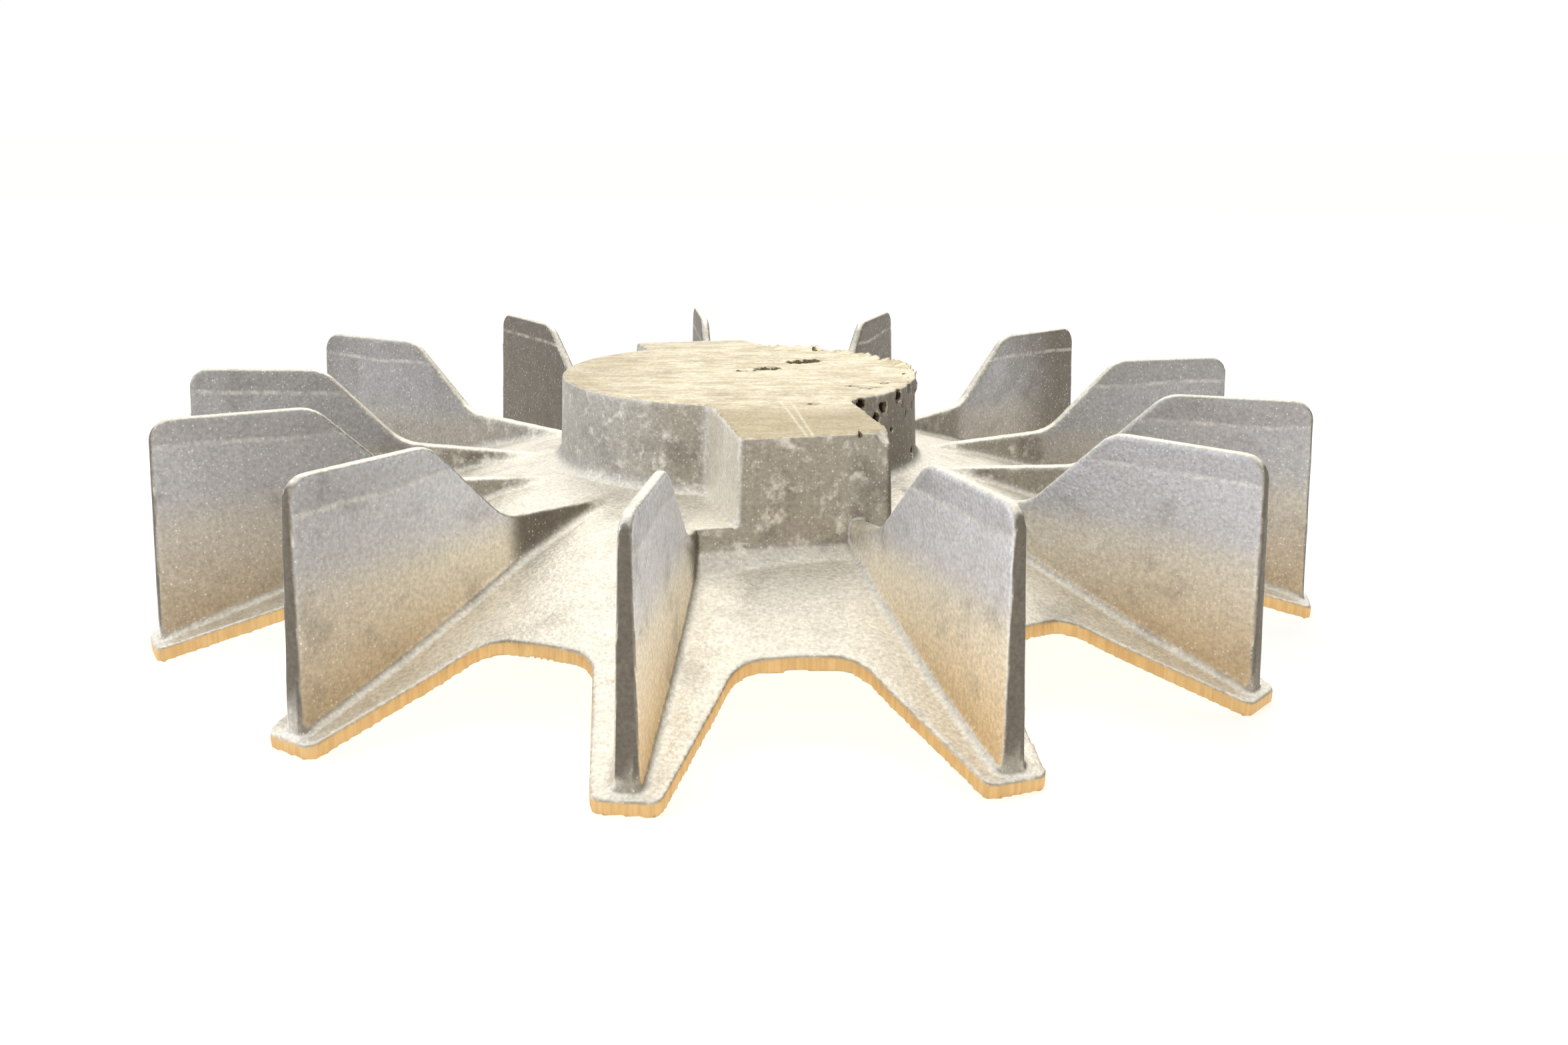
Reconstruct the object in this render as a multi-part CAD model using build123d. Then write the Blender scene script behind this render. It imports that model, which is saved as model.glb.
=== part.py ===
"""Radial-blade cooling fan impeller: one raw aluminium casting with an unbored hub.

Millimetres. Z is the spin axis and z = 0 is the plane that the thirteen fingertips
rest on. The plate is a shallow dome, cut between the blades into tapered fingers.
Each blade stands on a finger, slopes down inwards and runs on as a low rib that
fades into the plate before it reaches the hub. Two lugs stand on opposite sides of
the hub, and a pad fills the plate in front of the larger one between two ribs.
"""
import os
from math import asin, atan2, cos, degrees, hypot, radians, sin, tan

from build123d import *

# ---- star plate ----
BLADES = 13
PITCH = 360.0 / BLADES
FIRST_BLADE = 90.0 + PITCH / 8        # spreads the odd star evenly about X and Y
TIP_R = 103.0                         # fingertips
PLATE_T = 2.45                        # wall, measured along Z
TIP_Z = 2.1                           # top face at the fingertips
DOME_Z = 22.8                         # and at the hub's wall
PLATE_R = (46.0, 59.0, 70.0, 84.0)    # in between it bends at these radii
PLATE_Z = (20.0, 16.4, 12.4, 7.6)
GAP_R = 76.0                          # inner end of the gap between two fingers
GAP_HALF_W = 8.3
FINGER_TIP_W = 8.77                   # across a fingertip, before its corners are rounded
GAP_BOW = 0.4                         # of the gap's inner end, towards the hub
GAP_CORNER_R = 6.0
TIP_CORNER_R = 1.8

# ---- blades and ribs ----
BLADE_TOP_Z = 37.2
BLADE_TOP_T = 1.8
BLADE_DRAFT = 1.45                    # each side
BLADE_LEDGE = 1.1                     # the blade's foot stands this far in from the fingertip
BLADE_OUT_ROOT_R = TIP_R - BLADE_LEDGE
BLADE_OUT_LEAN = 1.8                  # its outer edge leans in by this much to the top
BLADE_OUT_TOP_R = BLADE_OUT_ROOT_R - BLADE_OUT_LEAN
BLADE_IN_R = 75.9
SLOPE_END_R, SLOPE_END_Z = 62.2, 23.75
RIB_END_R, RIB_END_Z = 30.0, 21.2     # buried in the plate
RIB_FADE_R = 37.0                     # where the rib's top sinks into the plate
OUT_CORNER_R = 3.6
IN_CORNER_R = 6.0
RIB_CORNER_R = 8.0
BLADE_EDGE = 0.45                     # flats that stand for the casting's rounds
BLADE_ROOT = 1.0

# ---- hub, lugs and pad ----
HUB_TOP_Z = 37.3
HUB_R = 32.1                          # at the top
HUB_DRAFT = 2.5                       # each side, the lugs too
HUB_ROOT = 1.8
CORE_R = 18.0                         # the plate's ring starts here, inside the hub
BOSS_R = 30.5                         # back of the hub, under the plate
BOSS_Z = 13.0
BOSS_ROOT = 3.0
LUG_ANGLE = FIRST_BLADE + 7 * PITCH - PITCH / 4
LUG_W = 23.6                          # at the top
LUG_FRONT = 51.9                      # axis to the face of the larger lug, at the top
LUG_BACK = 45.8
LUG_FALL = 1.0                        # the lugs' tops drop this much by their faces
LUG_CORNER_R = 1.2
LUG_ROOT_R = 3.0                      # where a lug's sides meet the hub
PAD_DROP = 0.15                       # the pad's top lies this far under the ribs' tops
PAD_FOOT = 1.4                        # height of the flat along the foot of the pad's face


def turned(shape, angle):
    return Rot(0, 0, angle) * shape


def plate_line(drop):
    """The plate's meridian from hub to fingertip, moved down by drop."""
    bends = list(zip((HUB_R, *PLATE_R, TIP_R), (DOME_Z, *PLATE_Z, TIP_Z)))
    return Polyline(*[(r, z - drop) for r, z in bends])


def plate_blank():
    """One blade's share of the plate about +X, ring-shaped and still solid down to z = 0."""
    neck = HUB_TOP_Z - 2
    rest = Polyline((TIP_R, TIP_Z), (TIP_R, 0), (CORE_R, 0), (CORE_R, neck), (HUB_R, neck),
                    (HUB_R, DOME_Z))
    side = make_face([*plate_line(0).edges(), *rest.edges()])
    side = chamfer(side.vertices().sort_by_distance((HUB_R, DOME_Z, 0))[0], HUB_ROOT)
    return turned(revolve(Plane.XZ * side, Axis.Z, PITCH), -PITCH / 2)


def hollow():
    """What the dished underside leaves open, around the back of the hub."""
    low, out = TIP_Z - PLATE_T, TIP_R + 5
    rest = Polyline((TIP_R, low), (out, low), (out, -5), (0, -5), (0, BOSS_Z), (BOSS_R, BOSS_Z),
                    (HUB_R, DOME_Z - PLATE_T))
    side = make_face([*plate_line(PLATE_T).edges(), *rest.edges()])
    side = chamfer(side.vertices().sort_by_distance((HUB_R, DOME_Z - PLATE_T, 0))[0], BOSS_ROOT)
    return revolve(Plane.XZ * side, Axis.Z)


def finger_outline():
    """Plan of one finger about +X, with half of the gap on each side of it."""
    # The gap's sides run from its inner corners to the corners of the two fingertips.
    corner = radians(PITCH / 2) - asin(FINGER_TIP_W / 2 / TIP_R)
    flare = (TIP_R * sin(corner) - GAP_HALF_W) / (TIP_R * cos(corner) - GAP_R)
    reach = TIP_R + 12
    half = GAP_HALF_W + (reach - GAP_R) * flare
    sides = Polyline((GAP_R, -GAP_HALF_W), (reach, -half), (reach, half), (GAP_R, GAP_HALF_W))
    bow = ThreePointArc((GAP_R, GAP_HALF_W), (GAP_R - GAP_BOW, 0), (GAP_R, -GAP_HALF_W))
    gap = make_face([sides, bow])
    gap = fillet(gap.vertices().sort_by(Axis.X)[:2], GAP_CORNER_R)
    plan = Circle(TIP_R) - turned(gap, PITCH / 2) - turned(gap, -PITCH / 2)
    plan &= Pos(reach / 2, 0) * Rectangle(reach, reach)
    corners = [v for v in plan.vertices() if v.X > GAP_R and hypot(v.X, v.Y) > TIP_R - 0.01
               and abs(degrees(atan2(v.Y, v.X))) < PITCH / 3]
    return fillet(corners, TIP_CORNER_R)


def blade():
    """One drafted blade with its rib, standing along +X."""
    side = make_face(Polyline(
        (RIB_END_R, 3), (RIB_END_R, RIB_END_Z), (SLOPE_END_R, SLOPE_END_Z),
        (BLADE_IN_R, BLADE_TOP_Z), (BLADE_OUT_TOP_R, BLADE_TOP_Z),
        (BLADE_OUT_ROOT_R, 0.5), (BLADE_OUT_ROOT_R - 2, 0.5), close=True))
    for r, z, radius in ((BLADE_IN_R, BLADE_TOP_Z, IN_CORNER_R),
                         (BLADE_OUT_TOP_R, BLADE_TOP_Z, OUT_CORNER_R),
                         (SLOPE_END_R, SLOPE_END_Z, RIB_CORNER_R)):
        side = fillet(side.vertices().sort_by_distance((r, z, 0))[0], radius)
    half_root = BLADE_TOP_T / 2 + BLADE_TOP_Z * tan(radians(BLADE_DRAFT))
    wedge = make_face(Polyline(
        (-BLADE_TOP_T / 2, BLADE_TOP_Z), (BLADE_TOP_T / 2, BLADE_TOP_Z),
        (half_root, 0), (-half_root, 0), close=True))
    wall = extrude(Plane.XZ * side, 6, both=True) & extrude(Plane.YZ * wedge, TIP_R + 10)
    rim = [e for e in wall.edges() if abs(e.center().Y) > 0.3 and e.center().Z > 2.5
           and e.center().X > RIB_END_R + 1]
    return chamfer(rim, BLADE_EDGE)


def sector():
    """A finger with its blade, and the flats along the blade's root."""
    plate = plate_blank() & extrude(finger_outline(), BLADE_TOP_Z)
    body = plate + blade()
    roots = [e for e in body.edges() if e.geom_type == GeomType.HYPERBOLA
             and 1 < abs(e.center().Y) < 2.4 and RIB_FADE_R < e.center().X and e.length > 3]
    return body.chamfer(BLADE_ROOT, None, roots)


def drafted(plan):
    """Grow a plan drawn at the hub's top downwards, each side with the mould's draft."""
    top = Plane.XY.offset(HUB_TOP_Z) * plan
    return turned(extrude(top, BOSS_Z - HUB_TOP_Z, taper=-HUB_DRAFT), LUG_ANGLE)


def hub():
    """Boss and both lugs in one plan, the larger lug along +X before it is turned."""
    plan = Circle(HUB_R) + Pos((LUG_FRONT - LUG_BACK) / 2, 0) * Rectangle(
        LUG_FRONT + LUG_BACK, LUG_W)
    inner = [v for v in plan.vertices() if hypot(v.X, v.Y) < HUB_R + 0.01]
    plan = fillet(inner, LUG_ROOT_R)
    outer = [v for v in plan.vertices() if abs(v.X) > LUG_BACK - 0.01]
    return drafted(fillet(outer, LUG_CORNER_R))


def lug_tops():
    """Shallow wedges that the saw takes off both lugs."""
    wedges = []
    for reach, angle in ((LUG_FRONT, 0), (LUG_BACK, 180)):
        rise = LUG_FALL / (reach - HUB_R)
        side = make_face(Polyline((HUB_R, HUB_TOP_Z), (reach + 5, HUB_TOP_Z - rise * (reach + 5 - HUB_R)),
                                  (reach + 5, HUB_TOP_Z + 5), (HUB_R, HUB_TOP_Z + 5), close=True))
        wedges.append(turned(extrude(Plane.XZ * side, LUG_W, both=True), LUG_ANGLE + angle))
    return wedges


def pad():
    """Ground in front of the hub, between two ribs and flush with the lug's face."""
    rim = LUG_FRONT + 10
    low, high = radians(PITCH / 4 - PITCH), radians(PITCH / 4)
    corners = [(r, r * tan(a)) for r, a in ((CORE_R, low), (rim, low), (rim, high), (CORE_R, high))]
    plan = turned(extrude(make_face(Polyline(*corners, close=True)), BLADE_TOP_Z), LUG_ANGLE)
    slope = (SLOPE_END_Z - RIB_END_Z) / (SLOPE_END_R - RIB_END_R)
    tops = [(r, RIB_END_Z + slope * (r - RIB_END_R) - PAD_DROP) for r in (CORE_R, 2 * rim)]
    side = make_face(Polyline(*tops, (2 * rim, BOSS_Z), (CORE_R, BOSS_Z), close=True))
    ground = plan & revolve(Plane.XZ * side, Axis.Z) & drafted(Rectangle(2 * LUG_FRONT, 4 * LUG_W))
    fall = (PLATE_Z[0] - PLATE_Z[1]) / (PLATE_R[1] - PLATE_R[0])
    plate_z = PLATE_Z[0] - fall * (LUG_FRONT - PLATE_R[0])
    face = LUG_FRONT + (HUB_TOP_Z - plate_z) * tan(radians(HUB_DRAFT))
    flat = make_face(Polyline((face - 1, plate_z + PAD_FOOT), (face, plate_z + PAD_FOOT),
                              (face + 2 * PAD_FOOT, plate_z - PAD_FOOT), (face - 1, BOSS_Z),
                              close=True))
    foot = turned(extrude(Plane.XZ * flat, 2 * LUG_W, both=True), LUG_ANGLE) & plan
    return ground, foot


def impeller():
    share = sector()
    shares = [turned(share, FIRST_BLADE + k * PITCH) for k in range(BLADES)]
    body = shares[0].fuse(*shares[1:]).fuse(hub(), *pad())
    for wedge in lug_tops():
        body -= wedge
    return body - hollow()


os.makedirs("parts", exist_ok=True)
export_step(impeller(), "parts/fan_impeller.step")
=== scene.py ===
"""Raw cast cooling-fan impeller: the dressed casting and a plain stage for it.

The casting is one piece of shot-blasted aluminium. Its hub's top is sawn flat, with
cavities where gas was trapped, and the hub's rim is crumbled on one side.
"""

import math

import bmesh
import bpy
import numpy as np
from bpy.props import FloatProperty, IntProperty, PointerProperty, StringProperty
from mathutils import Matrix, Vector, noise


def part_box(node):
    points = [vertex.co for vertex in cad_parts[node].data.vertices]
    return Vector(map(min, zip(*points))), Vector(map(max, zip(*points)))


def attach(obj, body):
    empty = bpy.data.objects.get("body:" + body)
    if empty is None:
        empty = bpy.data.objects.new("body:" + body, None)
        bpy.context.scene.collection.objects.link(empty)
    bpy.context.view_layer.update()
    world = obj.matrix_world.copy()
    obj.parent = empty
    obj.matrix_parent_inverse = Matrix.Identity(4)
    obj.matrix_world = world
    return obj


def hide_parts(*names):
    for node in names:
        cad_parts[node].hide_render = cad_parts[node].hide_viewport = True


bl_info = {
    "name": "Cast Fan Impeller",
    "version": (1, 0, 0),
    "blender": (4, 5, 0),
    "location": "View3D > Sidebar > Impeller",
    "description": "Dresses a raw aluminium fan casting and sets it on a plain stage",
    "category": "Object",
}

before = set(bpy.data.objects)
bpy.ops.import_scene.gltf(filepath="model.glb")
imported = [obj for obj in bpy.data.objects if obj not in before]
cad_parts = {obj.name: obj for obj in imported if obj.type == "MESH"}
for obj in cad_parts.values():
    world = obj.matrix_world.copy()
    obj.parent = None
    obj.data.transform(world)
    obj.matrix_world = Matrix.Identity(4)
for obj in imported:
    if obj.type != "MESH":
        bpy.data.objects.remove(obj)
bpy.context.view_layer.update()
NODE = "fan_impeller"
MM = 0.001

# The cast shape's own sizes, in millimetres from the spin axis and the floor.
HUB_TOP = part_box(NODE)[1].z / MM
HUB_FOOT = 20.0                       # the plate's skin at the hub
HUB_SIDE = (28.5, 35.5)               # radii that hold the hub's round side
HUB_REACH = 58.0                      # past both lugs
LUG_ANGLE = math.radians(-79.615)
LUG_FACE = 51.9
LUG_INNER = 45.0                      # the larger lug's outer end lies past this
PLATE_LINE = ((0, 20.0), (46, 20.0), (59, 16.4), (70, 12.4), (84, 7.6), (103, 2.1))
PLATE_RIM_FROM = (68.0, 72.0)         # the plate's upright rim shows outside this radius
PLATE_WALL = (2.9, 3.4)               # and ends this far below the plate's top face
BLADE_FROM = (58.0, 64.0)             # inside this radius the blades are low ribs
BLADE_LIP_FROM = (95.0, 98.0)         # the blades' outer edges stand outside this radius
BLADE_LIP_FOOT = (3.5, 5.5)           # and above this height

# Gas cavities on the sawn top: centre x and y, half length, half width, turn in
# degrees, depth. All but the turn in millimetres.
TOP_PITS = (
    (12.8, 11.8, 4.0, 2.4, 30, 1.5),
    (5.4, 3.8, 2.8, 2.0, 20, 1.1),
    (1.0, 1.4, 2.6, 0.8, 8, 0.5),
    (19.1, -14.7, 1.2, 0.9, 20, 0.9),
    (20.8, -17.0, 1.5, 0.8, -30, 0.9),
    (22.7, -15.9, 0.9, 0.7, 0, 0.8),
    (25.1, -12.0, 1.3, 0.7, 60, 0.8),
    (10.6, -30.8, 1.2, 0.8, 0, 0.6),
    (-5.4, 20.6, 0.5, 0.5, 0, 0.5),
    (12.4, -7.9, 0.6, 0.5, 0, 0.5),
    (30.3, -2.6, 1.0, 0.7, 80, 0.7),
    (16.5, 25.6, 1.1, 0.6, -40, 0.6),
)
# Cavities in the hub's side: angle in degrees, height, half width, half height, depth.
SIDE_PITS = (
    (-33.5, 36.0, 1.1, 1.3, 1.3),
    (-16.0, 35.2, 1.0, 1.7, 1.3),
    (-43.0, 34.9, 1.1, 1.0, 1.2),
    (-53.5, 35.9, 1.2, 1.0, 1.2),
    (-46.5, 33.3, 0.9, 1.0, 1.1),
    (-20.5, 25.0, 1.3, 1.0, 1.2),
    (-27.0, 32.2, 0.7, 0.8, 0.9),
    (-24.5, 36.4, 0.9, 0.7, 0.9),
    (-9.0, 31.6, 0.9, 1.2, 1.1),
    (-38.5, 30.6, 0.6, 0.6, 0.8),
    (-30.0, 34.3, 0.5, 0.6, 0.8),
    (-20.5, 33.2, 0.6, 0.7, 0.9),
    (-13.0, 28.6, 0.6, 0.8, 0.9),
    (-7.0, 35.8, 0.7, 1.0, 0.9),
    (-49.0, 31.2, 0.5, 0.5, 0.7),
    (1.5, 34.3, 1.2, 1.0, 1.1),
    (13.0, 35.0, 1.0, 1.2, 1.0),
    (27.0, 33.6, 0.8, 0.9, 0.9),
)
# Cavity amount inside the ones that the saw opened, which the light reaches.
OPENED = 0.78
# How far below the hub's top its skin may lie, and how far past its outline a cavity frays.
SAWN_SKIN = 1.2
PIT_MARGIN = 2.5
# The rim is crumbled between these angles, in degrees, over these radii and this depth.
CRUMBLE_ANGLES = (-30.0, 88.0)
CRUMBLE_RADII = (29.3, 34.5)
CRUMBLE_DEPTH = 3.2
# The larger lug's chipped corner: across the lug and below its top. Then the dent in its
# face: across the lug and its height. Then the flash on the plate's rim: x, y and z.
CHIP = (11.2, 0.7)
DENT = (6.8, 36.0)
FLASH = (-3.1, -75.6, 9.4)
# Scratches on the larger lug, each from one x and y to another.
SCRATCHES = (((5.6, -31.0), (7.4, -48.5)), ((7.0, -29.5), (8.9, -54.0)))

# The seam near the blades' tops: its height and how far it wavers.
SEAM = (32.6, 0.6)
# The skin keeps all its points inside this radius and above this height.
FINE_RADIUS, FINE_HEIGHT = 36.0, 22.0
# The cavity amount, frayed by the grain, where the skin ends and where the hole's painted shade is darkest.
HOLE_EDGE = (0.79, 1.07)
# The lamps' target and the camera, in metres and radians.
STAGE_MIDDLE = (0.0, 0.0, 0.02)
CAMERA_AT = (-0.012145, -0.259026, 0.081132)
CAMERA_YAW, CAMERA_PITCH, CAMERA_ROLL = 0.07964, 0.27259, 0.01119


class ImpellerCasting(bpy.types.PropertyGroup):
    skin_step: FloatProperty(
        name="Skin step", description="Spacing of the skin's points before it is thinned",
        default=0.00045, min=0.0003, subtype="DISTANCE", unit="LENGTH")
    skin_faces: IntProperty(
        name="Skin faces", description="Triangles that the finished skin may have", default=188000)
    pit_depth: FloatProperty(
        name="Pit depth", description="Scales the depth of every gas cavity", default=1.0, min=0.0)
    crumble: FloatProperty(
        name="Crumble", description="How far crumbs stand proud of the hub's rim",
        default=0.00075, subtype="DISTANCE", unit="LENGTH")


class ImpellerFinish(bpy.types.PropertyGroup):
    # Pale clouds, and painted light on faces that lie flat and on faces turned left along the larger lug.
    pale_and_lit_skin: StringProperty(
        name="Pale skin, lit faces", description="Pale clouds, and painted light on flat faces", default="#F2EDE0")
    # Upright skin painted darker than flat faces, as shade; also dull patches on flat faces.
    dull_and_shaded_skin: StringProperty(
        name="Upright skin, shaded", description="Upright skin painted darker as shade, and dull patches on flat faces", default="#A9A395")
    # A painted cool sheen near the blades' tops and on faces turned left.
    cool_sheen: StringProperty(
        name="Cool sheen, painted", description="Upright skin near the blades' tops", default="#E4E4E7")
    # Painted light: the blades' faces are set much paler than the hub's upright skin.
    blade_face: StringProperty(
        name="Blade face", description="The blades' wide faces", default="#F4EDDD")
    # Painted shade on the blades at the sides and back.
    far_blade_shade: StringProperty(
        name="Blade face, painted shade", description="Painted shade on the blades at the sides and back",
        default="#8A8680")
    # A painted warm reflection of the floor on the blades' lower faces.
    warm_floor_reflection: StringProperty(
        name="Warm floor reflection", description="Upright skin near the floor", default="#DFC18F")
    # The rim's gold, in both tones, is a painted warm reflection; the file marks are the rim's own texture.
    rim_warm_reflection: StringProperty(
        name="Rim", description="Upright edge of the plate and its fingers", default="#E6C48C")
    rim_marks_warm_reflection: StringProperty(
        name="Rim, file marks", description="Darker file marks on the rim", default="#D4AF79")
    sawn: StringProperty(
        name="Sawn face", description="The hub's sawn top", default="#E7DDC4")
    # Besides the streaks, painted shade on the larger lug's top.
    sawn_streak_and_shade: StringProperty(
        name="Sawn face, dull", description="Sawn top streaks, and painted shade on the larger lug's top", default="#A79A79")
    # Dull patches, and painted shade on faces turned right, on the far back blades and on the blades' outer
    # edges.
    shade: StringProperty(
        name="Dull and shaded skin", description="Dull patches, and painted shade on faces turned right, far blades and blade edges", default="#787166")
    glint: StringProperty(
        name="Glint", description="Dimples that flash in the light", default="#FFFDF6")
    # The cavities' colours are painted shade.
    cavity: StringProperty(
        name="Cavity", description="Inside of the gas cavities in the hub's side", default="#3A332C")
    cavity_top: StringProperty(
        name="Opened cavity", description="Inside of the cavities that the saw opened", default="#857962")


class ImpellerStage(bpy.types.PropertyGroup):
    floor_colour: StringProperty(
        name="Floor", description="Colour of the plain floor", default="#FBFAF8")
    floor_glow: FloatProperty(
        name="Floor glow", description="Light that the floor adds where it is looked at or mirrored",
        default=0.45, min=0.0)
    world_level: FloatProperty(
        name="Room level", description="Strength of the even light from all round", default=0.6, min=0.0)
    key_power: FloatProperty(
        name="Key power", description="Power of the large lamp behind and above",
        default=1.1, min=0.0, unit="POWER")
    fill_power: FloatProperty(
        name="Fill power", description="Power of the lamp on the left",
        default=1.5, min=0.0, unit="POWER")
    warm_power: FloatProperty(
        name="Warm power", description="Power of the low warm lamp in front",
        default=0.2, min=0.0, unit="POWER")
    lens: FloatProperty(
        name="Lens", description="Focal length on a 36 mm wide sensor",
        default=32.72, min=1.0, unit="CAMERA")


def hex_linear(text):
    """An sRGB hex colour as linear red, green, blue and an alpha of 1."""
    parts = [int(text[i:i + 2], 16) / 255 for i in (1, 3, 5)]
    return [p / 12.92 if p <= 0.04045 else ((p + 0.055) / 1.055) ** 2.4 for p in parts] + [1.0]


def add(tree, kind, inputs=None, **settings):
    """Adds a shader node with its settings. An input is a value or the socket linked to it."""
    made = tree.nodes.new(kind)
    for key, value in settings.items():
        setattr(made, key, value)
    for key, value in (inputs or {}).items():
        if isinstance(value, bpy.types.NodeSocket):
            tree.links.new(value, made.inputs[key])
        else:
            made.inputs[key].default_value = value
    return made


def smooth(low, high, value):
    """0 below low, 1 above high and an eased step between."""
    t = np.clip((value - low) / (high - low), 0.0, 1.0)
    return t * t * (3.0 - 2.0 * t)


def rough(points, scale, seed):
    """Noise from about -1 to 1 at each point; scale is in waves per millimetre."""
    offset = Vector((seed * 17.3, seed * -9.1, seed * 5.7))
    return np.array([noise.noise(Vector(p) * scale + offset) for p in points]) * 1.6


def mesh_arrays(mesh):
    """The mesh's points in millimetres and its point normals."""
    co = np.zeros(len(mesh.vertices) * 3)
    no = np.zeros(len(mesh.vertices) * 3)
    mesh.vertices.foreach_get("co", co)
    mesh.vertices.foreach_get("normal", no)
    return co.reshape(-1, 3) / MM, no.reshape(-1, 3)


def applied(source, name):
    """A new mesh with the source object's modifiers applied."""
    graph = bpy.context.evaluated_depsgraph_get()
    made = bpy.data.meshes.new_from_object(source.evaluated_get(graph), depsgraph=graph)
    made.name = name
    return made


def skinned(step):
    """The cast shape as one closed skin of even small faces, its edges eased as cast ones are."""
    grown = bmesh.new()
    grown.from_mesh(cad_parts[NODE].data)
    bmesh.ops.remove_doubles(grown, verts=grown.verts, dist=2e-6)
    blank = bpy.data.meshes.new("casting_blank")
    grown.to_mesh(blank)
    grown.free()
    holder = bpy.data.objects.new("casting_blank", blank)
    bpy.context.scene.collection.objects.link(holder)
    remesh = holder.modifiers.new("skin", "REMESH")
    remesh.mode = "VOXEL"
    remesh.voxel_size = step
    soften = holder.modifiers.new("soften", "SMOOTH")
    soften.factor = 0.5
    soften.iterations = 1
    bpy.context.view_layer.update()
    mesh = applied(holder, "casting_skin")
    bpy.data.objects.remove(holder)
    bpy.data.meshes.remove(blank)
    return mesh


def cavity(u, v, jitter):
    """How deep and how dark each point of a ragged cavity is, from 0 outside it to 1."""
    inside = 1.0 - (np.sqrt(u * u + v * v) + 0.20 * jitter)
    return smooth(0.0, 0.4, inside), smooth(-0.1, 0.12, inside)


def open_top(co, pit, hub, depth_scale):
    """Sinks the cavities that the saw opened in the hub's top."""
    top = hub[co[hub, 2] > HUB_TOP - SAWN_SKIN]
    ragged = rough(co[top], scale=0.9, seed=1)
    for x, y, long, wide, turn, depth in TOP_PITS:
        c, s = math.cos(math.radians(turn)), math.sin(math.radians(turn))
        dx, dy = co[top, 0] - x, co[top, 1] - y
        near = np.hypot(dx, dy) < long + PIT_MARGIN
        pull, dark = cavity((dx * c + dy * s) / long, (dy * c - dx * s) / wide, ragged)
        co[top, 2] -= pull * near * depth * depth_scale
        pit[top] = np.maximum(pit[top], OPENED * dark * near)


def open_side(co, normal, pit, hub, radius, angle, depth_scale):
    """Sinks the cavities in the hub's round side."""
    side = hub[(radius[hub] > HUB_SIDE[0]) & (radius[hub] < HUB_SIDE[1])]
    ragged = rough(co[side], scale=1.1, seed=2)
    upright = 1 - smooth(0.5, 0.8, normal[side, 2])
    for degrees, z, wide, high, depth in SIDE_PITS:
        turn = math.radians(degrees)
        along = np.sin(angle[side] - turn) * radius[side]
        ahead = np.cos(angle[side] - turn) > 0.5
        pull, dark = cavity(along / wide, (co[side, 2] - z) / high, ragged)
        near = ahead * (np.abs(along) < wide + PIT_MARGIN) * upright
        outward = co[side, :2] / radius[side, None]
        co[side, :2] -= outward * (pull * near * depth * depth_scale)[:, None]
        pit[side] = np.maximum(pit[side], dark * near)


def crumble_rim(co, normal, pit, hub, radius, angle, height):
    """Raises crumbs along the rim of the hub's top, with painted shade in the gaps between them."""
    low, high = (math.radians(limit) for limit in CRUMBLE_ANGLES)
    rim = hub[(radius[hub] > CRUMBLE_RADII[0]) & (radius[hub] < CRUMBLE_RADII[1])
              & (co[hub, 2] > HUB_TOP - CRUMBLE_DEPTH) & (angle[hub] > low) & (angle[hub] < high)]
    ends = smooth(low, low + 0.35, angle[rim]) * (1 - smooth(high - 0.3, high, angle[rim]))
    near_edge = (smooth(CRUMBLE_RADII[0], CRUMBLE_RADII[0] + 2.1, radius[rim])
                 * smooth(HUB_TOP - CRUMBLE_DEPTH, HUB_TOP - 1.0, co[rim, 2]))
    lumps = rough(co[rim], scale=0.6, seed=3) + 0.5 * rough(co[rim], scale=1.5, seed=4)
    proud = (0.35 + 0.75 * lumps) * ends * near_edge * height / MM
    co[rim, 2] += proud * (normal[rim, 2] > 0.3)
    outward = co[rim, :2] / radius[rim, None]
    co[rim, :2] += outward * (proud * 0.8)[:, None]
    pit[rim] = np.maximum(pit[rim], smooth(0.25, 0.75, -lumps) * ends * near_edge * 0.75)


def erode_hub(co, normal, sizes):
    """Moves the hub's points for its cavities and crumbled rim. Returns each point's cavity amount."""
    pit = np.zeros(len(co))
    radius = np.hypot(co[:, 0], co[:, 1])
    angle = np.arctan2(co[:, 1], co[:, 0])
    hub = np.where((radius < HUB_REACH) & (co[:, 2] > HUB_FOOT))[0]
    open_top(co, pit, hub, sizes.pit_depth)
    open_side(co, normal, pit, hub, radius, angle, sizes.pit_depth)
    crumble_rim(co, normal, pit, hub, radius, angle, sizes.crumble)
    return pit


def chip_lug(co):
    """Rounds the larger lug's corner, dents its face and raises the flash on the plate's rim.
    Returns 1 at the points in the dent and 0 elsewhere."""
    out = np.array((math.cos(LUG_ANGLE), math.sin(LUG_ANGLE)))
    across = np.array((-out[1], out[0]))
    depth, width = co[:, :2] @ out, co[:, :2] @ across
    below = HUB_TOP - CHIP[1] - co[:, 2]
    corner = np.sqrt((depth - LUG_FACE) ** 2 + (width - CHIP[0]) ** 2 + below ** 2)
    pull = (1 - smooth(0.4, 2.6, corner)) * (depth > LUG_INNER)
    co[:, 2] -= pull * 0.8
    co[:, :2] -= (out * 0.7 + across * 0.6)[None, :] * pull[:, None]
    dent = np.hypot(width - DENT[0], co[:, 2] - DENT[1])
    spot = (1 - smooth(0.25, 0.6, dent)) * (depth > LUG_FACE - 1.5) * (depth < LUG_FACE + 2)
    co[:, :2] -= out[None, :] * (spot * 0.5)[:, None]
    flash = np.sqrt(((co - np.array(FLASH)) ** 2).sum(axis=1))
    raised = 1 - smooth(0.2, 1.3, flash)
    co[:, 1] -= raised * 0.9
    co[:, 2] += raised * 0.5
    return spot


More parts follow.
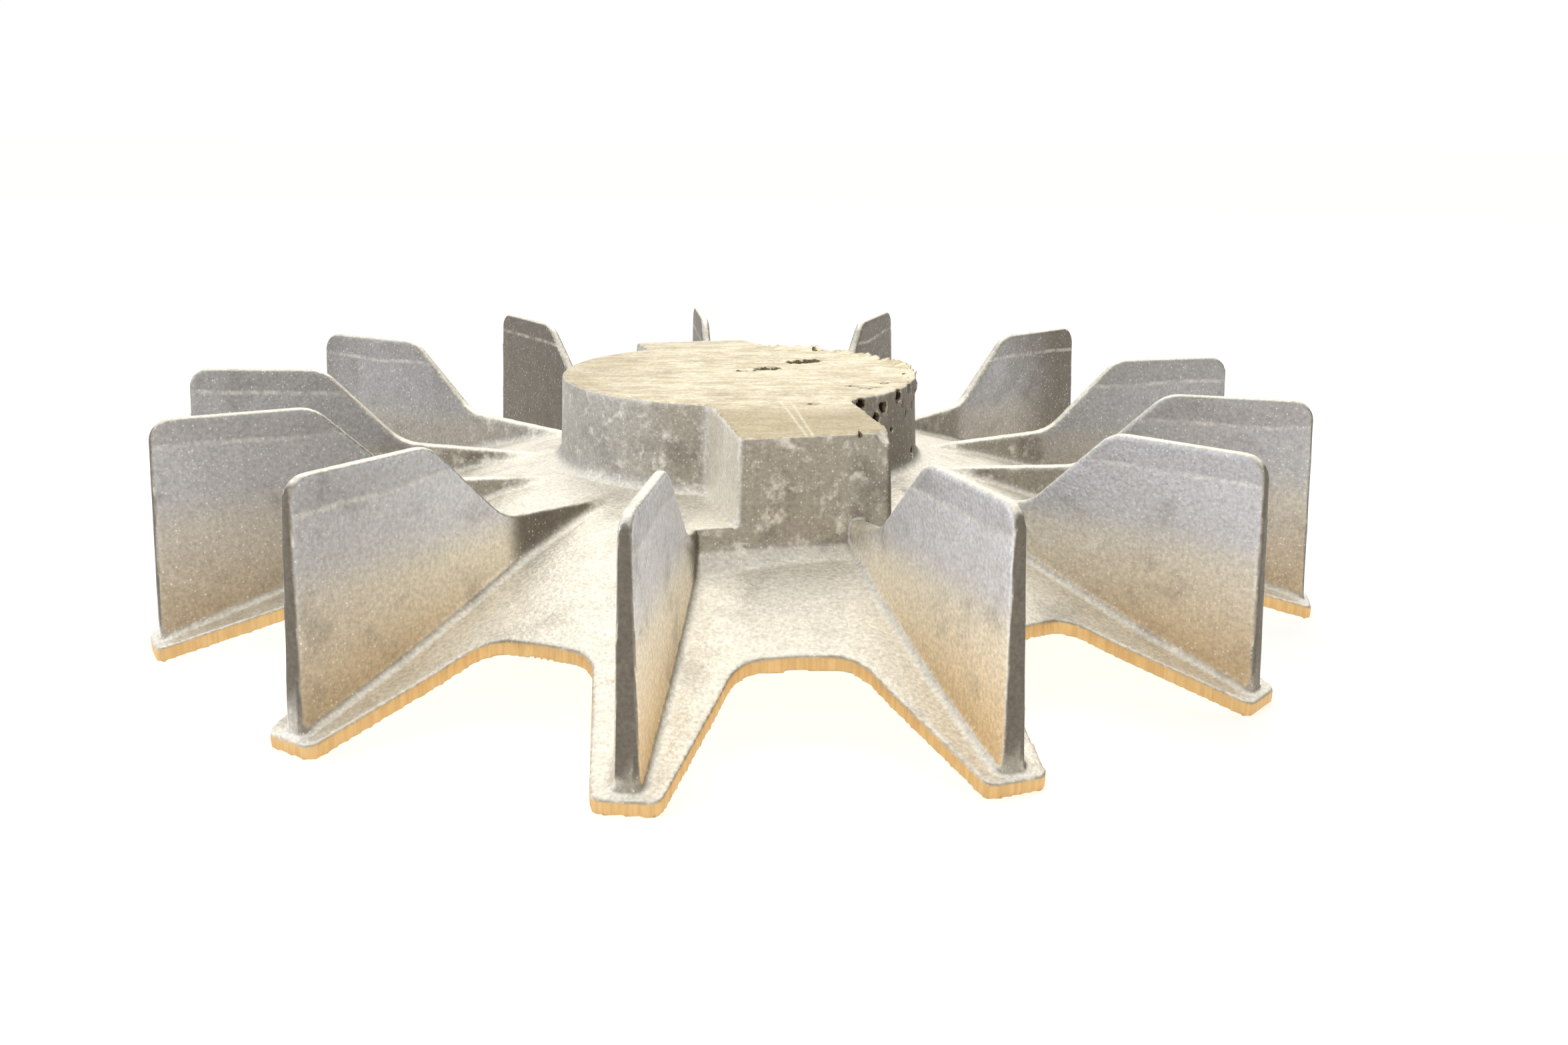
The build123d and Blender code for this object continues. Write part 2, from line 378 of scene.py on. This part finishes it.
def rim_amount(co, normal):
    """1 on the upright edge of the plate and its fingers, 0 elsewhere."""
    radius = np.hypot(co[:, 0], co[:, 1])
    r, z = zip(*PLATE_LINE)
    below = np.interp(radius, r, z) - co[:, 2]
    edge = smooth(0.1, 0.5, below) * (1 - smooth(*PLATE_WALL, below))
    upright = 1 - smooth(0.55, 0.85, np.abs(normal[:, 2]))
    return upright * edge * smooth(*PLATE_RIM_FROM, radius)


def blade_amount(co, normal):
    """1 on the blades' two wide faces, 0 elsewhere."""
    radius = np.hypot(co[:, 0], co[:, 1])
    across = np.abs(co[:, 0] * normal[:, 1] - co[:, 1] * normal[:, 0]) / np.maximum(radius, 1.0)
    return smooth(0.75, 0.93, across) * smooth(*BLADE_FROM, radius)


def lip_amount(co, normal):
    """1 on the blades' outer upright edges, 0 elsewhere."""
    radius = np.hypot(co[:, 0], co[:, 1])
    outward = (co[:, 0] * normal[:, 0] + co[:, 1] * normal[:, 1]) / np.maximum(radius, 1.0)
    return smooth(0.6, 0.85, outward) * smooth(*BLADE_LIP_FROM, radius) * smooth(*BLADE_LIP_FOOT, co[:, 2])


def sawn_amount(co, normal):
    """1 on the sawn top of the hub and its lugs."""
    radius = np.hypot(co[:, 0], co[:, 1])
    height = smooth(HUB_TOP - 2.3, HUB_TOP - 1.5, co[:, 2])
    return height * (radius < HUB_REACH) * smooth(0.6, 0.9, normal[:, 2])


def thinned(mesh, co, faces):
    """The skin thinned away from the hub, to about this many triangles. The full one is removed."""
    holder = bpy.data.objects.new("casting_skin", mesh)
    bpy.context.scene.collection.objects.link(holder)
    thin = holder.modifiers.new("thin", "DECIMATE")
    thin.ratio = min(1.0, faces / (2.0 * len(mesh.polygons)))
    plain = holder.vertex_groups.new(name="plain")
    away = np.where((np.hypot(co[:, 0], co[:, 1]) > FINE_RADIUS) | (co[:, 2] < FINE_HEIGHT))[0]
    plain.add([int(i) for i in away], 1.0, "REPLACE")
    thin.vertex_group = plain.name
    bpy.context.view_layer.update()
    final = applied(holder, "impeller_casting")
    bpy.data.objects.remove(holder)
    bpy.data.meshes.remove(mesh)
    return final


def store(mesh, name, values):
    """Keeps one number a point, for the finish to read."""
    layer = mesh.attributes.new(name, "FLOAT", "POINT")
    layer.data.foreach_set("value", values.astype(np.float32))


def layered(tree, tone, *layers):
    """The tone with each layer laid over it. A layer is its own tone, the value that places it,
    where that value starts and ends, and the layer's weight at those two."""
    for over, value, low, high, start, end in layers:
        weight = add(tree, "ShaderNodeMapRange", {0: value, 1: low, 2: high, 3: start, 4: end},
                     interpolation_type="SMOOTHSTEP").outputs[0]
        first, second = (hex_linear(t) if isinstance(t, str) else t for t in (tone, over))
        tone = add(tree, "ShaderNodeMix", {0: weight, 6: first, 7: second}, data_type="RGBA").outputs[2]
    return tone


def casting_finish(colours):
    """Shot-blasted sand-cast aluminium: a satin metal whose dimples sparkle, with a sawn face on the hub.
    Light and shade are painted into its colour: flat faces and the blades' faces paler as painted light,
    upright skin, far blades and blade edges darker as painted shade, a painted warm reflection near the
    floor and on the rim, a painted cool sheen near the tops, and painted shade in the gas cavities."""
    material = bpy.data.materials.new("shot_blasted_cast_aluminium")
    material.use_nodes = True
    tree = material.node_tree
    tree.nodes.clear()
    place = add(tree, "ShaderNodeTexCoord").outputs
    normal = add(tree, "ShaderNodeSeparateXYZ", {0: place["Normal"]}).outputs
    spot = add(tree, "ShaderNodeSeparateXYZ", {0: place["Object"]}).outputs
    pit, rim, sawn, blade, lip = (add(tree, "ShaderNodeAttribute", attribute_name=name).outputs["Fac"]
                                  for name in ("pit", "rim", "sawn", "blade", "lip"))
    # Slow drift, patches 9 mm across and clouds of 3 mm, where the blast was heavier or
    # lighter, and grain of half a millimetre.
    drift, patches, clouds, grain = (
        add(tree, "ShaderNodeTexNoise", {"Vector": place["Object"], "Scale": scale, "Detail": detail,
                                         "Roughness": 0.62}).outputs[0]
        for scale, detail in ((45.0, 1.0), (110.0, 4.0), (330.0, 4.0), (1700.0, 2.0)))
    # Shot dimples of half a millimetre, and the few of them that flash.
    dimples = add(tree, "ShaderNodeTexVoronoi", {"Vector": place["Object"], "Scale": 1900.0},
                  feature="SMOOTH_F1").outputs["Distance"]
    flashes = add(tree, "ShaderNodeTexVoronoi", {"Vector": place["Object"], "Scale": 2300.0},
                  feature="F1").outputs
    chosen = add(tree, "ShaderNodeSeparateXYZ", {0: flashes["Color"]}).outputs[0]

    # Upright skin, painted darker than flat faces as shade, with dull patches and pale clouds; a painted cool
    # sheen on faces turned left and painted shade on faces turned right.
    wall = layered(tree, colours.dull_and_shaded_skin,
                   (colours.shade, patches, 0.50, 0.66, 0.0, 0.60),
                   (colours.pale_and_lit_skin, clouds, 0.50, 0.70, 0.0, 0.65),
                   (colours.cool_sheen, normal["X"], -0.20, -0.90, 0.0, 0.28),
                   (colours.shade, normal["X"], 0.35, 0.85, 0.0, 0.90))
    # A painted highlight on faces turned left, out along the larger lug.
    lit_lug_flank = layered(tree, wall, (colours.pale_and_lit_skin, normal["X"], -0.40, -0.95, 0.0, 0.85))
    wall = layered(tree, wall, (lit_lug_flank, spot["Y"], -0.030, -0.034, 0.0, 1.0))
    # The blades' faces, painted paler than the hub's upright skin as light, with a painted cool sheen near
    # their tops, a painted warm floor reflection near their feet, painted shade on the blades at the sides
    # and back, and dull patches.
    face = layered(tree, colours.blade_face,
                   (colours.cool_sheen, spot["Z"], 0.019, 0.026, 0.0, 1.0),
                   (colours.warm_floor_reflection, spot["Z"], 0.022, 0.004, 0.0, 0.85),
                   (colours.far_blade_shade, spot["X"], 0.030, 0.050, 0.0, 0.32),
                   (colours.far_blade_shade, spot["X"], -0.035, -0.065, 0.0, 0.50),
                   (colours.far_blade_shade, spot["Y"], -0.060, -0.010, 0.0, 0.50),
                   (colours.shade, spot["Y"], 0.044, 0.058, 0.0, 0.95),
                   (colours.shade, patches, 0.52, 0.72, 0.0, 0.30))
    # Where the metal met in the mould: a faint pale line, a painted highlight on the small step there, under
    # a slightly darker band.
    seam_low, seam_high = (SEAM[0] - SEAM[1]) * MM, (SEAM[0] + SEAM[1]) * MM
    seam = add(tree, "ShaderNodeMapRange", {0: drift, 1: 0.3, 2: 0.7, 3: -seam_high, 4: -seam_low}).outputs[0]
    seam = add(tree, "ShaderNodeMath", {0: spot["Z"], 1: seam}, operation="ADD").outputs[0]
    face = layered(tree, face, (colours.shade, seam, -0.0002, 0.0006, 0.0, 0.18))
    seam = add(tree, "ShaderNodeMath", {0: seam}, operation="ABSOLUTE").outputs[0]
    pale = layered(tree, face, (colours.pale_and_lit_skin, clouds, 0.42, 0.60, 0.1, 0.6))
    face = layered(tree, face, (pale, seam, 0.0001, 0.0006, 0.6, 0.0))

    # Faces that lie flat take the pale tone, painted light that sets them brighter than the upright skin,
    # with dull patches over it.
    top = layered(tree, colours.pale_and_lit_skin, (colours.dull_and_shaded_skin, patches, 0.50, 0.72, 0.0, 0.35))
    tilt = add(tree, "ShaderNodeMath", {0: normal["Z"]}, operation="ABSOLUTE").outputs[0]
    skin = layered(tree, layered(tree, wall, (face, blade, 0.0, 1.0, 0.0, 1.0)),
                   (top, tilt, 0.45, 0.90, 0.0, 1.0))
    glint = layered(tree, skin, (colours.glint, chosen, 0.70, 1.0, 0.0, 0.5))
    skin = layered(tree, skin, (glint, flashes["Distance"], 0.15, 0.45, 1.0, 0.0))
    # The blades' outer upright edges are painted shade.
    skin = layered(tree, skin, (colours.shade, lip, 0.0, 1.0, 0.0, 1.0))

    # Flaky streaks that the saw left, a few millimetres long and a third as wide.
    turned = add(tree, "ShaderNodeMapping", {"Vector": place["Object"], "Rotation": (0, 0, math.radians(-14)),
                                             "Scale": (150.0, 420.0, 150.0)}).outputs[0]
    streaks = add(tree, "ShaderNodeTexNoise", {"Vector": turned, "Scale": 1.0, "Detail": 6.0,
                                               "Roughness": 0.70}).outputs[0]
    cut = layered(tree, colours.sawn_streak_and_shade,
                  (colours.sawn, streaks, 0.36, 0.60, 0.45, 1.0),
                  (colours.sawn_streak_and_shade, patches, 0.48, 0.70, 0.0, 0.38),
                  (colours.pale_and_lit_skin, clouds, 0.52, 0.70, 0.0, 0.60),
                  # Darker towards the left, and painted shade out along the larger lug.
                  (colours.sawn_streak_and_shade, spot["X"], -0.008, -0.030, 0.0, 0.30),
                  (colours.sawn_streak_and_shade, spot["Y"], -0.029, -0.038, 0.0, 0.62))
    # Two long scratches run out along the larger lug.
    for start, end in SCRATCHES:
        line = Vector((end[0] - start[0], end[1] - start[1])).normalized()
        away = add(tree, "ShaderNodeVectorMath", {0: place["Object"], 1: (line.y, -line.x, 0.0)},
                   operation="DOT_PRODUCT").outputs["Value"]
        away = add(tree, "ShaderNodeMath", {0: away, 1: (start[0] * line.y - start[1] * line.x) * MM},
                   operation="SUBTRACT").outputs[0]
        away = add(tree, "ShaderNodeMath", {0: away}, operation="ABSOLUTE").outputs[0]
        bright = layered(tree, cut, (colours.pale_and_lit_skin, spot["Y"], -0.0285, -0.0315, 0.0, 0.32))
        cut = layered(tree, cut, (bright, away, 0.0001, 0.0004, 1.0, 0.0))
    skin = layered(tree, skin, (cut, sawn, 0.0, 1.0, 0.0, 1.0))
    speckle = add(tree, "ShaderNodeMapRange", {0: grain, 1: 0.3, 2: 0.7, 3: 0.66, 4: 1.28}).outputs[0]
    skin = add(tree, "ShaderNodeMix", {0: 0.5, 6: skin, 7: speckle}, data_type="RGBA",
               blend_type="MULTIPLY").outputs[2]

    # The rim was dressed with a file held upright, in marks under a millimetre wide. Its gold is a painted
    # warm reflection.
    upright = add(tree, "ShaderNodeMapping", {"Vector": place["Object"],
                                              "Scale": (1500.0, 1500.0, 80.0)}).outputs[0]
    marks = add(tree, "ShaderNodeTexNoise", {"Vector": upright, "Scale": 1.0, "Detail": 3.0}).outputs[0]
    rim_filing_reflection = layered(tree, colours.rim_marks_warm_reflection, (colours.rim_warm_reflection, marks, 0.35, 0.65, 0.35, 1.0))
    skin = layered(tree, skin, (rim_filing_reflection, rim, 0.0, 1.0, 0.0, 1.0))
    # The cavities' insides are painted shade: near black in the hub's side, paler in the ones that the saw
    # opened.
    depths = layered(tree, colours.cavity_top, (colours.cavity, pit, OPENED, 1.0, 0.0, 1.0))
    # The grain frays each cavity's edge.
    hole = add(tree, "ShaderNodeMath", {0: grain, 1: 0.9, 2: pit}, operation="MULTIPLY_ADD").outputs[0]
    skin = layered(tree, skin, (depths, hole, *HOLE_EDGE, 0.0, 1.0))

    gloss = add(tree, "ShaderNodeMapRange", {0: clouds, 1: 0.3, 2: 0.7, 3: 0.50, 4: 0.64}).outputs[0]
    gloss = add(tree, "ShaderNodeMapRange",
                {0: hole, 1: HOLE_EDGE[0], 2: HOLE_EDGE[1], 3: gloss, 4: 0.85}).outputs[0]
    height = add(tree, "ShaderNodeMath", {0: dimples, 1: 0.75, 2: grain}, operation="MULTIPLY_ADD").outputs[0]
    bump = add(tree, "ShaderNodeBump", {"Height": height, "Strength": 0.35, "Distance": 0.0002}).outputs[0]
    shader = add(tree, "ShaderNodeBsdfPrincipled", {"Base Color": skin, "Roughness": gloss, "Normal": bump,
                                                    "Metallic": 1.0})
    add(tree, "ShaderNodeOutputMaterial", {0: shader.outputs[0]})
    return material


class IMPELLER_OT_casting(bpy.types.Operator):
    """Dress the casting: eased edges, gas cavities, crumbled rim and a shot-blasted finish"""
    bl_idname = "impeller.casting"
    bl_label = "Dress Casting"

    def execute(self, context):
        sizes = context.scene.impeller_casting
        mesh = skinned(sizes.skin_step)
        if len(mesh.polygons) < 1000:
            raise RuntimeError("the casting's skin came out empty")
        co, normal = mesh_arrays(mesh)
        pit = erode_hub(co, normal, sizes)
        # The dent in the lug's face takes the cavities' painted shade.
        pit = np.maximum(pit, chip_lug(co))
        mesh.vertices.foreach_set("co", (co * MM).ravel())
        mesh.update()
        co, normal = mesh_arrays(mesh)
        store(mesh, "pit", pit)
        store(mesh, "rim", rim_amount(co, normal))
        store(mesh, "sawn", sawn_amount(co, normal))
        store(mesh, "blade", blade_amount(co, normal))
        store(mesh, "lip", lip_amount(co, normal))
        final = thinned(mesh, co, sizes.skin_faces)
        for face in final.polygons:
            face.use_smooth = True
        final.materials.clear()
        final.materials.append(casting_finish(context.scene.impeller_finish))
        piece = bpy.data.objects.new("impeller_casting", final)
        context.scene.collection.objects.link(piece)
        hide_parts(NODE)
        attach(piece, "root")
        return {"FINISHED"}


def area_lamp(name, place, target, size, power, colour):
    """A soft square lamp that faces the target point."""
    data = bpy.data.lights.new(name, "AREA")
    data.shape = "SQUARE"
    data.size = size
    data.energy = power
    data.color = hex_linear(colour)[:3]
    lamp = bpy.data.objects.new(name, data)
    lamp.location = place
    lamp.rotation_euler = (Vector(target) - Vector(place)).to_track_quat("-Z", "Y").to_euler()
    bpy.context.scene.collection.objects.link(lamp)


def seen_rays(tree):
    """1 where the camera, a reflection or a clear body looks, 0 for the light on a dull skin."""
    path = add(tree, "ShaderNodeLightPath").outputs
    seen = path["Is Camera Ray"]
    for other in ("Is Glossy Ray", "Is Transmission Ray"):
        seen = add(tree, "ShaderNodeMath", {0: seen, 1: path[other]}, operation="MAXIMUM").outputs[0]
    return seen


class IMPELLER_OT_stage(bpy.types.Operator):
    """Set the plain floor, soft light and camera"""
    bl_idname = "impeller.stage"
    bl_label = "Set Stage"

    def execute(self, context):
        stage = context.scene.impeller_stage
        grown = bmesh.new()
        bmesh.ops.create_grid(grown, x_segments=1, y_segments=1, size=6.0)
        floor_mesh = bpy.data.meshes.new("stage_floor")
        grown.to_mesh(floor_mesh)
        grown.free()
        floor = bpy.data.objects.new("stage_floor", floor_mesh)
        context.scene.collection.objects.link(floor)
        # Plain pale paper. What looks at it directly or in the metal sees it near white,
        # and the object's shadow still darkens it.
        paper = bpy.data.materials.new("pale_paper")
        paper.use_nodes = True
        tree = paper.node_tree
        tree.nodes.clear()
        colour = hex_linear(stage.floor_colour)
        dull = add(tree, "ShaderNodeBsdfDiffuse", {"Color": colour}).outputs[0]
        lift = add(tree, "ShaderNodeMath", {0: seen_rays(tree), 1: stage.floor_glow},
                   operation="MULTIPLY").outputs[0]
        glow = add(tree, "ShaderNodeEmission", {"Color": colour, "Strength": lift}).outputs[0]
        both = add(tree, "ShaderNodeAddShader", {0: dull, 1: glow}).outputs[0]
        add(tree, "ShaderNodeOutputMaterial", {0: both})
        # The metal finds the paper and the room by reflection, so neither is sampled as a lamp.
        paper.cycles.emission_sampling = "NONE"
        floor_mesh.materials.append(paper)

        world = bpy.data.worlds.new("plain_room")
        world.use_nodes = True
        world.cycles.sampling_method = "NONE"
        context.scene.world = world
        tree = world.node_tree
        tree.nodes.clear()
        level = add(tree, "ShaderNodeMapRange",
                    {0: seen_rays(tree), 3: stage.world_level, 4: 1.0}).outputs[0]
        room = add(tree, "ShaderNodeBackground", {"Color": (1, 1, 1, 1), "Strength": level}).outputs[0]
        add(tree, "ShaderNodeOutputWorld", {0: room})

        area_lamp("key", (0.05, 0.42, 0.62), STAGE_MIDDLE, 0.45, stage.key_power, "#FFF8EC")
        area_lamp("fill", (-0.75, -0.15, 0.45), STAGE_MIDDLE, 0.5, stage.fill_power, "#E6EEFF")
        area_lamp("warm", (0.1, -0.8, 0.09), STAGE_MIDDLE, 0.4, stage.warm_power, "#FFC97A")

        # The lens looks slightly down on the hub from a hand's height.
        data = bpy.data.cameras.new("camera")
        data.sensor_width = 36.0
        data.lens = stage.lens
        camera = bpy.data.objects.new("camera", data)
        flat = math.cos(CAMERA_PITCH)
        ahead = Vector((math.sin(CAMERA_YAW) * flat, math.cos(CAMERA_YAW) * flat, -math.sin(CAMERA_PITCH)))
        right = Vector((math.cos(CAMERA_YAW), -math.sin(CAMERA_YAW), 0.0))
        above = right.cross(ahead)
        rolled_x = math.cos(CAMERA_ROLL) * right + math.sin(CAMERA_ROLL) * above
        rolled_y = -math.sin(CAMERA_ROLL) * right + math.cos(CAMERA_ROLL) * above
        turn = Matrix((rolled_x, rolled_y, -ahead)).transposed().to_4x4()
        camera.matrix_world = Matrix.Translation(CAMERA_AT) @ turn
        context.scene.collection.objects.link(camera)
        context.scene.camera = camera
        context.scene.view_settings.view_transform = "Standard"
        return {"FINISHED"}


class IMPELLER_PT_panel(bpy.types.Panel):
    bl_label = "Cast Fan Impeller"
    bl_idname = "IMPELLER_PT_panel"
    bl_space_type = "VIEW_3D"
    bl_region_type = "UI"
    bl_category = "Impeller"

    def draw(self, context):
        for group, label in ((context.scene.impeller_casting, "Casting"),
                             (context.scene.impeller_finish, "Finish"),
                             (context.scene.impeller_stage, "Stage")):
            box = self.layout.box()
            box.label(text=label)
            for name in group.__annotations__:
                box.prop(group, name)
        self.layout.operator("impeller.casting")
        self.layout.operator("impeller.stage")


GROUPS = {"impeller_casting": ImpellerCasting, "impeller_finish": ImpellerFinish,
          "impeller_stage": ImpellerStage}
CLASSES = (*GROUPS.values(), IMPELLER_OT_casting, IMPELLER_OT_stage, IMPELLER_PT_panel)


def register():
    for cls in CLASSES:
        bpy.utils.register_class(cls)
    for name, group in GROUPS.items():
        setattr(bpy.types.Scene, name, PointerProperty(type=group))


def unregister():
    for name in GROUPS:
        delattr(bpy.types.Scene, name)
    for cls in reversed(CLASSES):
        bpy.utils.unregister_class(cls)


def main():
    register()
    bpy.ops.impeller.stage()
    bpy.ops.impeller.casting()


if __name__ == "__main__":
    main()
